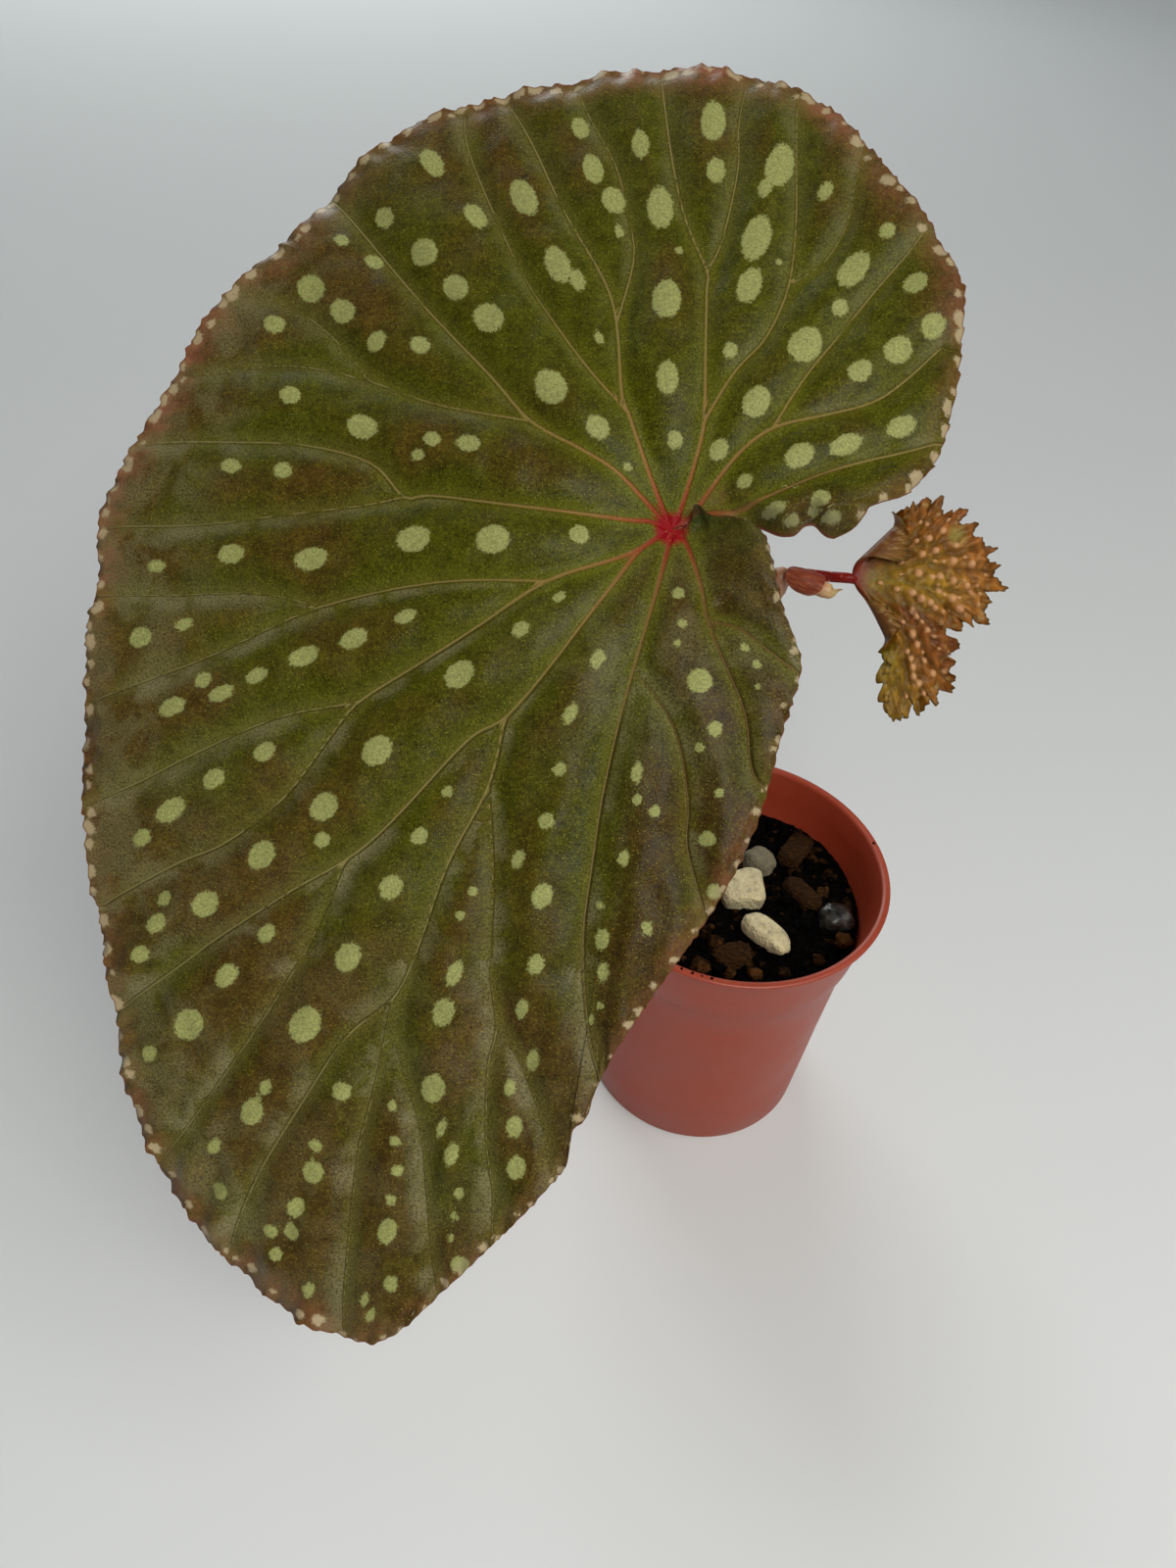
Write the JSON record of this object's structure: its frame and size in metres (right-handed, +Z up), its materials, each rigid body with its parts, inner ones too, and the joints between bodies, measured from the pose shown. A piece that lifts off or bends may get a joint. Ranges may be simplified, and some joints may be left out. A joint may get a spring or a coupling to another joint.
{
  "type": "potted begonia",
  "caption": "Small potted cane begonia: a large spotted, pleated, ear-shaped leaf and a toothed young leaf on a short cane in a tapered nursery pot of soil.",
  "frame": {"origin": "centre of the flat underside of the pot, which rests on the surface", "axes": "+Z up along the pot's axis; -Y is the side that the big leaf leans down to and that the picture is taken from; +X is the side of the young leaf"},
  "size_m": [0.1309, 0.1317, 0.1691],
  "materials": {
    "terracotta_plastic": "satin",
    "potting_soil": "matte",
    "cane": "satin",
    "red_petiole": "satin",
    "big_leaf": "satin",
    "young_leaf": "satin",
    "leaf_bud": "satin",
    "stipule": "satin",
    "perlite": "matte",
    "grit": "satin",
    "bark": "matte"
  },
  "bodies": {
    "root": {"pot": "terracotta_plastic", "soil": "potting_soil", "cane": "cane", "big_leaf_petiole": "red_petiole", "big_leaf_blade": "big_leaf", "young_leaf_petiole": "red_petiole", "young_leaf_blade": "young_leaf", "leaf_bud": "leaf_bud", "stipule": "stipule", "perlite_1": "perlite", "perlite_2": "perlite", "perlite_3": "perlite", "grit_1": "grit", "grit_2": "grit", "bark_1": "bark", "bark_2": "bark", "bark_3": "bark"}
  },
  "joints": []
}
